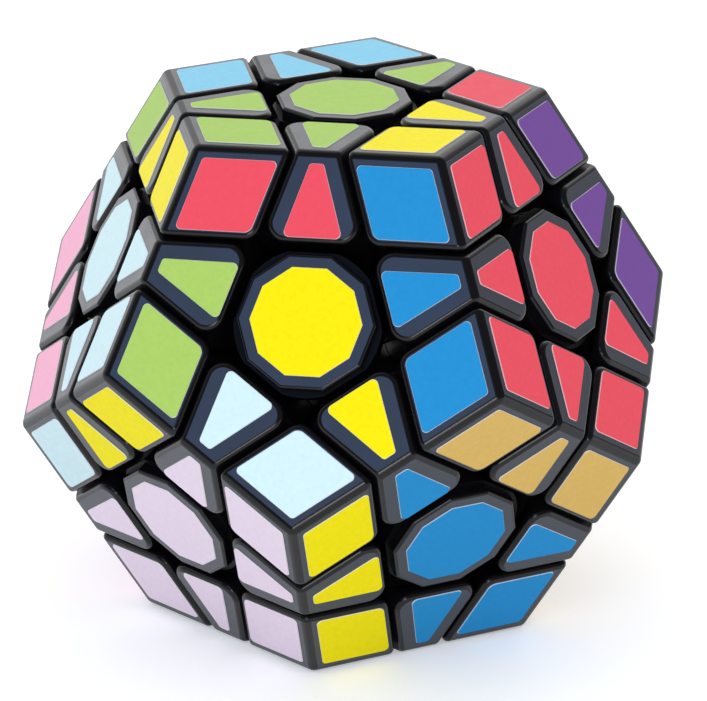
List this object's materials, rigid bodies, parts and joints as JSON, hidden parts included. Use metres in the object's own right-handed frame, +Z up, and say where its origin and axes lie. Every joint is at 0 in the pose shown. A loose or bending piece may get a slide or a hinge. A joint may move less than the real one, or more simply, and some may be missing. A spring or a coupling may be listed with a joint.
{
  "type": "dodecahedron twisty puzzle",
  "caption": "Dodecahedron puzzle with a face turning about each screw: coloured centre, edge and corner pieces held by feet round an inner core.",
  "frame": {"origin": "middle of the base face, on the surface that the puzzle rests on", "axes": "+Z up through the top face, -Y towards the front face"},
  "size_m": [0.082, 0.0862, 0.0702],
  "materials": {
    "black_plastic": "satin moulded black",
    "core_plastic": "moulded",
    "screw_steel": "zinc plated",
    "spring_steel": "spring wire",
    "sticker_yellow": "vinyl film",
    "sticker_green": "vinyl film",
    "sticker_red": "vinyl film",
    "sticker_purple": "vinyl film",
    "sticker_sky_blue": "vinyl film",
    "sticker_aqua": "vinyl film",
    "sticker_blue": "vinyl film",
    "sticker_gold": "vinyl film",
    "sticker_pink": "vinyl film",
    "sticker_lilac": "vinyl film",
    "sticker_dark_green": "vinyl film",
    "sticker_orange": "vinyl film"
  },
  "bodies": {
    "core_and_base": {"core": "core_plastic", "screws_and_washers": "screw_steel", "springs": "spring_steel", "centre_base": "black_plastic"},
    "centre_top": {"centre_top": "black_plastic"},
    "centre_front": {"centre_front": "black_plastic"},
    "centre_right": {"centre_right": "black_plastic"},
    "centre_rear_right": {"centre_rear_right": "black_plastic"},
    "centre_rear_left": {"centre_rear_left": "black_plastic"},
    "centre_left": {"centre_left": "black_plastic"},
    "centre_low_front_right": {"centre_low_front_right": "black_plastic", "edge_low_front_right_base": "black_plastic"},
    "centre_low_right": {"centre_low_right": "black_plastic", "edge_low_right_base": "black_plastic"},
    "centre_low_rear": {"centre_low_rear": "black_plastic", "edge_low_rear_base": "black_plastic"},
    "centre_low_left": {"centre_low_left": "black_plastic", "edge_low_left_base": "black_plastic"},
    "centre_low_front_left": {"centre_low_front_left": "black_plastic", "edge_low_front_left_base": "black_plastic"},
    "edge_top_front": {"edge_top_front": "black_plastic"},
    "edge_top_right": {"edge_top_right": "black_plastic"},
    "edge_top_rear_right": {"edge_top_rear_right": "black_plastic"},
    "edge_top_rear_left": {"edge_top_rear_left": "black_plastic"},
    "edge_top_left": {"edge_top_left": "black_plastic"},
    "edge_front_right": {"edge_front_right": "black_plastic"},
    "edge_front_left": {"edge_front_left": "black_plastic"},
    "edge_front_low_front_right": {"edge_front_low_front_right": "black_plastic"},
    "edge_front_low_front_left": {"edge_front_low_front_left": "black_plastic"},
    "edge_right_rear_right": {"edge_right_rear_right": "black_plastic"},
    "edge_right_low_front_right": {"edge_right_low_front_right": "black_plastic"},
    "edge_right_low_right": {"edge_right_low_right": "black_plastic"},
    "edge_rear_right_rear_left": {"edge_rear_right_rear_left": "black_plastic"},
    "edge_rear_right_low_right": {"edge_rear_right_low_right": "black_plastic"},
    "edge_rear_right_low_rear": {"edge_rear_right_low_rear": "black_plastic"},
    "edge_rear_left_left": {"edge_rear_left_left": "black_plastic"},
    "edge_rear_left_low_rear": {"edge_rear_left_low_rear": "black_plastic"},
    "edge_rear_left_low_left": {"edge_rear_left_low_left": "black_plastic"},
    "edge_left_low_left": {"edge_left_low_left": "black_plastic"},
    "edge_left_low_front_left": {"edge_left_low_front_left": "black_plastic"},
    "edge_and_base_corner_low_front_right_low_right": {"edge_and_base_corner_low_front_right_low_right": "black_plastic"},
    "edge_and_base_corner_low_front_right_low_front_left": {"edge_and_base_corner_low_front_right_low_front_left": "black_plastic"},
    "edge_and_base_corner_low_right_low_rear": {"edge_and_base_corner_low_right_low_rear": "black_plastic"},
    "edge_and_base_corner_low_rear_low_left": {"edge_and_base_corner_low_rear_low_left": "black_plastic"},
    "edge_and_base_corner_low_left_low_front_left": {"edge_and_base_corner_low_left_low_front_left": "black_plastic"},
    "corner_top_front_right": {"corner_top_front_right": "black_plastic"},
    "corner_top_front_left": {"corner_top_front_left": "black_plastic"},
    "corner_top_right_rear_right": {"corner_top_right_rear_right": "black_plastic"},
    "corner_top_rear_right_rear_left": {"corner_top_rear_right_rear_left": "black_plastic"},
    "corner_top_rear_left_left": {"corner_top_rear_left_left": "black_plastic"},
    "corner_front_right_low_front_right": {"corner_front_right_low_front_right": "black_plastic"},
    "corner_front_left_low_front_left": {"corner_front_left_low_front_left": "black_plastic"},
    "corner_front_low_front_right_low_front_left": {"corner_front_low_front_right_low_front_left": "black_plastic"},
    "corner_right_rear_right_low_right": {"corner_right_rear_right_low_right": "black_plastic"},
    "corner_right_low_front_right_low_right": {"corner_right_low_front_right_low_right": "black_plastic"},
    "corner_rear_right_rear_left_low_rear": {"corner_rear_right_rear_left_low_rear": "black_plastic"},
    "corner_rear_right_low_right_low_rear": {"corner_rear_right_low_right_low_rear": "black_plastic"},
    "corner_rear_left_left_low_left": {"corner_rear_left_left_low_left": "black_plastic"},
    "corner_rear_left_low_rear_low_left": {"corner_rear_left_low_rear_low_left": "black_plastic"},
    "corner_left_low_left_low_front_left": {"corner_left_low_left_low_front_left": "black_plastic"}
  },
  "joints": [
    {"name": "endless_turn_top", "type": "hinge", "parent": "core_and_base", "child": "centre_top", "pos_m": [0, 0, 0.03508], "axis": [0, 0, 1], "continuous": true},
    {"name": "full_turn_front", "type": "hinge", "parent": "core_and_base", "child": "centre_front", "pos_m": [0, 0, 0.03508], "axis": [0, -0.8944, 0.4472], "range_deg": [-360, 360]},
    {"name": "full_turn_right", "type": "hinge", "parent": "core_and_base", "child": "centre_right", "pos_m": [0, 0, 0.03508], "axis": [0.8507, -0.2764, 0.4472], "range_deg": [-360, 360]},
    {"name": "full_turn_rear_right", "type": "hinge", "parent": "core_and_base", "child": "centre_rear_right", "pos_m": [0, 0, 0.03508], "axis": [0.5257, 0.7236, 0.4472], "range_deg": [-360, 360]},
    {"name": "full_turn_rear_left", "type": "hinge", "parent": "core_and_base", "child": "centre_rear_left", "pos_m": [0, 0, 0.03508], "axis": [-0.5257, 0.7236, 0.4472], "range_deg": [-360, 360]},
    {"name": "full_turn_left", "type": "hinge", "parent": "core_and_base", "child": "centre_left", "pos_m": [0, 0, 0.03508], "axis": [-0.8507, -0.2764, 0.4472], "range_deg": [-360, 360]},
    {"name": "endless_turn_low_front_right", "type": "hinge", "parent": "core_and_base", "child": "centre_low_front_right", "pos_m": [0, 0, 0.03508], "axis": [0.5257, -0.7236, -0.4472], "continuous": true},
    {"name": "full_turn_low_right", "type": "hinge", "parent": "core_and_base", "child": "centre_low_right", "pos_m": [0, 0, 0.03508], "axis": [0.8507, 0.2764, -0.4472], "range_deg": [-360, 360]},
    {"name": "endless_turn_low_rear", "type": "hinge", "parent": "core_and_base", "child": "centre_low_rear", "pos_m": [0, 0, 0.03508], "axis": [0, 0.8944, -0.4472], "continuous": true},
    {"name": "full_turn_low_left", "type": "hinge", "parent": "core_and_base", "child": "centre_low_left", "pos_m": [0, 0, 0.03508], "axis": [-0.8507, 0.2764, -0.4472], "range_deg": [-360, 360]},
    {"name": "full_turn_low_front_left", "type": "hinge", "parent": "core_and_base", "child": "centre_low_front_left", "pos_m": [0, 0, 0.03508], "axis": [-0.5257, -0.7236, -0.4472], "range_deg": [-360, 360]},
    {"name": "slide_of_edge_top_front", "type": "hinge", "parent": "centre_top", "child": "edge_top_front", "pos_m": [0, 0, 0.03508], "axis": [0, -0.8944, 0.4472], "range_deg": [-360, 360]},
    {"name": "slide_of_edge_top_right", "type": "hinge", "parent": "centre_top", "child": "edge_top_right", "pos_m": [0, 0, 0.03508], "axis": [0.8507, -0.2764, 0.4472], "range_deg": [-360, 360]},
    {"name": "slide_of_edge_top_rear_right", "type": "hinge", "parent": "centre_top", "child": "edge_top_rear_right", "pos_m": [0, 0, 0.03508], "axis": [0.5257, 0.7236, 0.4472], "range_deg": [-360, 360]},
    {"name": "slide_of_edge_top_rear_left", "type": "hinge", "parent": "centre_top", "child": "edge_top_rear_left", "pos_m": [0, 0, 0.03508], "axis": [-0.5257, 0.7236, 0.4472], "range_deg": [-360, 360]},
    {"name": "slide_of_edge_top_left", "type": "hinge", "parent": "centre_top", "child": "edge_top_left", "pos_m": [0, 0, 0.03508], "axis": [-0.8507, -0.2764, 0.4472], "range_deg": [-360, 360]},
    {"name": "slide_of_edge_front_right", "type": "hinge", "parent": "centre_front", "child": "edge_front_right", "pos_m": [0, 0, 0.03508], "axis": [0.8507, -0.2764, 0.4472], "range_deg": [-360, 360]},
    {"name": "slide_of_edge_front_left", "type": "hinge", "parent": "centre_front", "child": "edge_front_left", "pos_m": [0, 0, 0.03508], "axis": [-0.8507, -0.2764, 0.4472], "range_deg": [-360, 360]},
    {"name": "slide_of_edge_front_low_front_right", "type": "hinge", "parent": "centre_front", "child": "edge_front_low_front_right", "pos_m": [0, 0, 0.03508], "axis": [0.5257, -0.7236, -0.4472], "continuous": true},
    {"name": "slide_of_edge_front_low_front_left", "type": "hinge", "parent": "centre_front", "child": "edge_front_low_front_left", "pos_m": [0, 0, 0.03508], "axis": [-0.5257, -0.7236, -0.4472], "range_deg": [-360, 360]},
    {"name": "slide_of_edge_right_rear_right", "type": "hinge", "parent": "centre_right", "child": "edge_right_rear_right", "pos_m": [0, 0, 0.03508], "axis": [0.5257, 0.7236, 0.4472], "range_deg": [-360, 360]},
    {"name": "slide_of_edge_right_low_front_right", "type": "hinge", "parent": "centre_right", "child": "edge_right_low_front_right", "pos_m": [0, 0, 0.03508], "axis": [0.5257, -0.7236, -0.4472], "continuous": true},
    {"name": "slide_of_edge_right_low_right", "type": "hinge", "parent": "centre_right", "child": "edge_right_low_right", "pos_m": [0, 0, 0.03508], "axis": [0.8507, 0.2764, -0.4472], "range_deg": [-360, 360]},
    {"name": "slide_of_edge_rear_right_rear_left", "type": "hinge", "parent": "centre_rear_right", "child": "edge_rear_right_rear_left", "pos_m": [0, 0, 0.03508], "axis": [-0.5257, 0.7236, 0.4472], "range_deg": [-360, 360]},
    {"name": "slide_of_edge_rear_right_low_right", "type": "hinge", "parent": "centre_rear_right", "child": "edge_rear_right_low_right", "pos_m": [0, 0, 0.03508], "axis": [0.8507, 0.2764, -0.4472], "range_deg": [-360, 360]},
    {"name": "slide_of_edge_rear_right_low_rear", "type": "hinge", "parent": "centre_rear_right", "child": "edge_rear_right_low_rear", "pos_m": [0, 0, 0.03508], "axis": [0, 0.8944, -0.4472], "continuous": true},
    {"name": "slide_of_edge_rear_left_left", "type": "hinge", "parent": "centre_rear_left", "child": "edge_rear_left_left", "pos_m": [0, 0, 0.03508], "axis": [-0.8507, -0.2764, 0.4472], "range_deg": [-360, 360]},
    {"name": "slide_of_edge_rear_left_low_rear", "type": "hinge", "parent": "centre_rear_left", "child": "edge_rear_left_low_rear", "pos_m": [0, 0, 0.03508], "axis": [0, 0.8944, -0.4472], "continuous": true},
    {"name": "slide_of_edge_rear_left_low_left", "type": "hinge", "parent": "centre_rear_left", "child": "edge_rear_left_low_left", "pos_m": [0, 0, 0.03508], "axis": [-0.8507, 0.2764, -0.4472], "range_deg": [-360, 360]},
    {"name": "slide_of_edge_left_low_left", "type": "hinge", "parent": "centre_left", "child": "edge_left_low_left", "pos_m": [0, 0, 0.03508], "axis": [-0.8507, 0.2764, -0.4472], "range_deg": [-360, 360]},
    {"name": "slide_of_edge_left_low_front_left", "type": "hinge", "parent": "centre_left", "child": "edge_left_low_front_left", "pos_m": [0, 0, 0.03508], "axis": [-0.5257, -0.7236, -0.4472], "range_deg": [-360, 360]},
    {"name": "slide_of_edge_and_base_corner_low_front_right_low_right", "type": "hinge", "parent": "centre_low_front_right", "child": "edge_and_base_corner_low_front_right_low_right", "pos_m": [0, 0, 0.03508], "axis": [0.8507, 0.2764, -0.4472], "range_deg": [-360, 360]},
    {"name": "slide_of_edge_and_base_corner_low_front_right_low_front_left", "type": "hinge", "parent": "centre_low_front_right", "child": "edge_and_base_corner_low_front_right_low_front_left", "pos_m": [0, 0, 0.03508], "axis": [-0.5257, -0.7236, -0.4472], "range_deg": [-360, 360]},
    {"name": "slide_of_edge_and_base_corner_low_right_low_rear", "type": "hinge", "parent": "centre_low_right", "child": "edge_and_base_corner_low_right_low_rear", "pos_m": [0, 0, 0.03508], "axis": [0, 0.8944, -0.4472], "continuous": true},
    {"name": "slide_of_edge_and_base_corner_low_rear_low_left", "type": "hinge", "parent": "centre_low_rear", "child": "edge_and_base_corner_low_rear_low_left", "pos_m": [0, 0, 0.03508], "axis": [-0.8507, 0.2764, -0.4472], "range_deg": [-360, 360]},
    {"name": "slide_of_edge_and_base_corner_low_left_low_front_left", "type": "hinge", "parent": "centre_low_left", "child": "edge_and_base_corner_low_left_low_front_left", "pos_m": [0, 0, 0.03508], "axis": [-0.5257, -0.7236, -0.4472], "range_deg": [-360, 360]},
    {"name": "slide_of_corner_top_front_right", "type": "hinge", "parent": "edge_top_front", "child": "corner_top_front_right", "pos_m": [0, 0, 0.03508], "axis": [0.8507, -0.2764, 0.4472], "range_deg": [-360, 360]},
    {"name": "slide_of_corner_top_front_left", "type": "hinge", "parent": "edge_top_front", "child": "corner_top_front_left", "pos_m": [0, 0, 0.03508], "axis": [-0.8507, -0.2764, 0.4472], "range_deg": [-360, 360]},
    {"name": "slide_of_corner_top_right_rear_right", "type": "hinge", "parent": "edge_top_right", "child": "corner_top_right_rear_right", "pos_m": [0, 0, 0.03508], "axis": [0.5257, 0.7236, 0.4472], "range_deg": [-360, 360]},
    {"name": "slide_of_corner_top_rear_right_rear_left", "type": "hinge", "parent": "edge_top_rear_right", "child": "corner_top_rear_right_rear_left", "pos_m": [0, 0, 0.03508], "axis": [-0.5257, 0.7236, 0.4472], "range_deg": [-360, 360]},
    {"name": "slide_of_corner_top_rear_left_left", "type": "hinge", "parent": "edge_top_rear_left", "child": "corner_top_rear_left_left", "pos_m": [0, 0, 0.03508], "axis": [-0.8507, -0.2764, 0.4472], "range_deg": [-360, 360]},
    {"name": "slide_of_corner_front_right_low_front_right", "type": "hinge", "parent": "edge_front_right", "child": "corner_front_right_low_front_right", "pos_m": [0, 0, 0.03508], "axis": [0.5257, -0.7236, -0.4472], "continuous": true},
    {"name": "slide_of_corner_front_left_low_front_left", "type": "hinge", "parent": "edge_front_left", "child": "corner_front_left_low_front_left", "pos_m": [0, 0, 0.03508], "axis": [-0.5257, -0.7236, -0.4472], "range_deg": [-360, 360]},
    {"name": "slide_of_corner_front_low_front_right_low_front_left", "type": "hinge", "parent": "edge_front_low_front_right", "child": "corner_front_low_front_right_low_front_left", "pos_m": [0, 0, 0.03508], "axis": [-0.5257, -0.7236, -0.4472], "range_deg": [-360, 360]},
    {"name": "slide_of_corner_right_rear_right_low_right", "type": "hinge", "parent": "edge_right_rear_right", "child": "corner_right_rear_right_low_right", "pos_m": [0, 0, 0.03508], "axis": [0.8507, 0.2764, -0.4472], "range_deg": [-360, 360]},
    {"name": "slide_of_corner_right_low_front_right_low_right", "type": "hinge", "parent": "edge_right_low_front_right", "child": "corner_right_low_front_right_low_right", "pos_m": [0, 0, 0.03508], "axis": [0.8507, 0.2764, -0.4472], "range_deg": [-360, 360]},
    {"name": "slide_of_corner_rear_right_rear_left_low_rear", "type": "hinge", "parent": "edge_rear_right_rear_left", "child": "corner_rear_right_rear_left_low_rear", "pos_m": [0, 0, 0.03508], "axis": [0, 0.8944, -0.4472], "continuous": true},
    {"name": "slide_of_corner_rear_right_low_right_low_rear", "type": "hinge", "parent": "edge_rear_right_low_right", "child": "corner_rear_right_low_right_low_rear", "pos_m": [0, 0, 0.03508], "axis": [0, 0.8944, -0.4472], "continuous": true},
    {"name": "slide_of_corner_rear_left_left_low_left", "type": "hinge", "parent": "edge_rear_left_left", "child": "corner_rear_left_left_low_left", "pos_m": [0, 0, 0.03508], "axis": [-0.8507, 0.2764, -0.4472], "range_deg": [-360, 360]},
    {"name": "slide_of_corner_rear_left_low_rear_low_left", "type": "hinge", "parent": "edge_rear_left_low_rear", "child": "corner_rear_left_low_rear_low_left", "pos_m": [0, 0, 0.03508], "axis": [-0.8507, 0.2764, -0.4472], "range_deg": [-360, 360]},
    {"name": "slide_of_corner_left_low_left_low_front_left", "type": "hinge", "parent": "edge_left_low_left", "child": "corner_left_low_left_low_front_left", "pos_m": [0, 0, 0.03508], "axis": [-0.5257, -0.7236, -0.4472], "range_deg": [-360, 360]}
  ],
  "couplings": [
    {"joint": "slide_of_edge_top_front", "follows": "full_turn_front", "ratio": 1},
    {"joint": "slide_of_edge_top_right", "follows": "full_turn_right", "ratio": 1},
    {"joint": "slide_of_edge_top_rear_right", "follows": "full_turn_rear_right", "ratio": 1},
    {"joint": "slide_of_edge_top_rear_left", "follows": "full_turn_rear_left", "ratio": 1},
    {"joint": "slide_of_edge_top_left", "follows": "full_turn_left", "ratio": 1},
    {"joint": "slide_of_edge_front_right", "follows": "full_turn_right", "ratio": 1},
    {"joint": "slide_of_edge_front_left", "follows": "full_turn_left", "ratio": 1},
    {"joint": "slide_of_edge_front_low_front_right", "follows": "endless_turn_low_front_right", "ratio": 1},
    {"joint": "slide_of_edge_front_low_front_left", "follows": "full_turn_low_front_left", "ratio": 1},
    {"joint": "slide_of_edge_right_rear_right", "follows": "full_turn_rear_right", "ratio": 1},
    {"joint": "slide_of_edge_right_low_front_right", "follows": "endless_turn_low_front_right", "ratio": 1},
    {"joint": "slide_of_edge_right_low_right", "follows": "full_turn_low_right", "ratio": 1},
    {"joint": "slide_of_edge_rear_right_rear_left", "follows": "full_turn_rear_left", "ratio": 1},
    {"joint": "slide_of_edge_rear_right_low_right", "follows": "full_turn_low_right", "ratio": 1},
    {"joint": "slide_of_edge_rear_right_low_rear", "follows": "endless_turn_low_rear", "ratio": 1},
    {"joint": "slide_of_edge_rear_left_left", "follows": "full_turn_left", "ratio": 1},
    {"joint": "slide_of_edge_rear_left_low_rear", "follows": "endless_turn_low_rear", "ratio": 1},
    {"joint": "slide_of_edge_rear_left_low_left", "follows": "full_turn_low_left", "ratio": 1},
    {"joint": "slide_of_edge_left_low_left", "follows": "full_turn_low_left", "ratio": 1},
    {"joint": "slide_of_edge_left_low_front_left", "follows": "full_turn_low_front_left", "ratio": 1},
    {"joint": "slide_of_edge_and_base_corner_low_front_right_low_right", "follows": "full_turn_low_right", "ratio": 1},
    {"joint": "slide_of_edge_and_base_corner_low_front_right_low_front_left", "follows": "full_turn_low_front_left", "ratio": 1},
    {"joint": "slide_of_edge_and_base_corner_low_right_low_rear", "follows": "endless_turn_low_rear", "ratio": 1},
    {"joint": "slide_of_edge_and_base_corner_low_rear_low_left", "follows": "full_turn_low_left", "ratio": 1},
    {"joint": "slide_of_edge_and_base_corner_low_left_low_front_left", "follows": "full_turn_low_front_left", "ratio": 1},
    {"joint": "slide_of_corner_top_front_right", "follows": "full_turn_right", "ratio": 1},
    {"joint": "slide_of_corner_top_front_left", "follows": "full_turn_left", "ratio": 1},
    {"joint": "slide_of_corner_top_right_rear_right", "follows": "full_turn_rear_right", "ratio": 1},
    {"joint": "slide_of_corner_top_rear_right_rear_left", "follows": "full_turn_rear_left", "ratio": 1},
    {"joint": "slide_of_corner_top_rear_left_left", "follows": "full_turn_left", "ratio": 1},
    {"joint": "slide_of_corner_front_right_low_front_right", "follows": "endless_turn_low_front_right", "ratio": 1},
    {"joint": "slide_of_corner_front_left_low_front_left", "follows": "full_turn_low_front_left", "ratio": 1},
    {"joint": "slide_of_corner_front_low_front_right_low_front_left", "follows": "full_turn_low_front_left", "ratio": 1},
    {"joint": "slide_of_corner_right_rear_right_low_right", "follows": "full_turn_low_right", "ratio": 1},
    {"joint": "slide_of_corner_right_low_front_right_low_right", "follows": "full_turn_low_right", "ratio": 1},
    {"joint": "slide_of_corner_rear_right_rear_left_low_rear", "follows": "endless_turn_low_rear", "ratio": 1},
    {"joint": "slide_of_corner_rear_right_low_right_low_rear", "follows": "endless_turn_low_rear", "ratio": 1},
    {"joint": "slide_of_corner_rear_left_left_low_left", "follows": "full_turn_low_left", "ratio": 1},
    {"joint": "slide_of_corner_rear_left_low_rear_low_left", "follows": "full_turn_low_left", "ratio": 1},
    {"joint": "slide_of_corner_left_low_left_low_front_left", "follows": "full_turn_low_front_left", "ratio": 1}
  ]
}
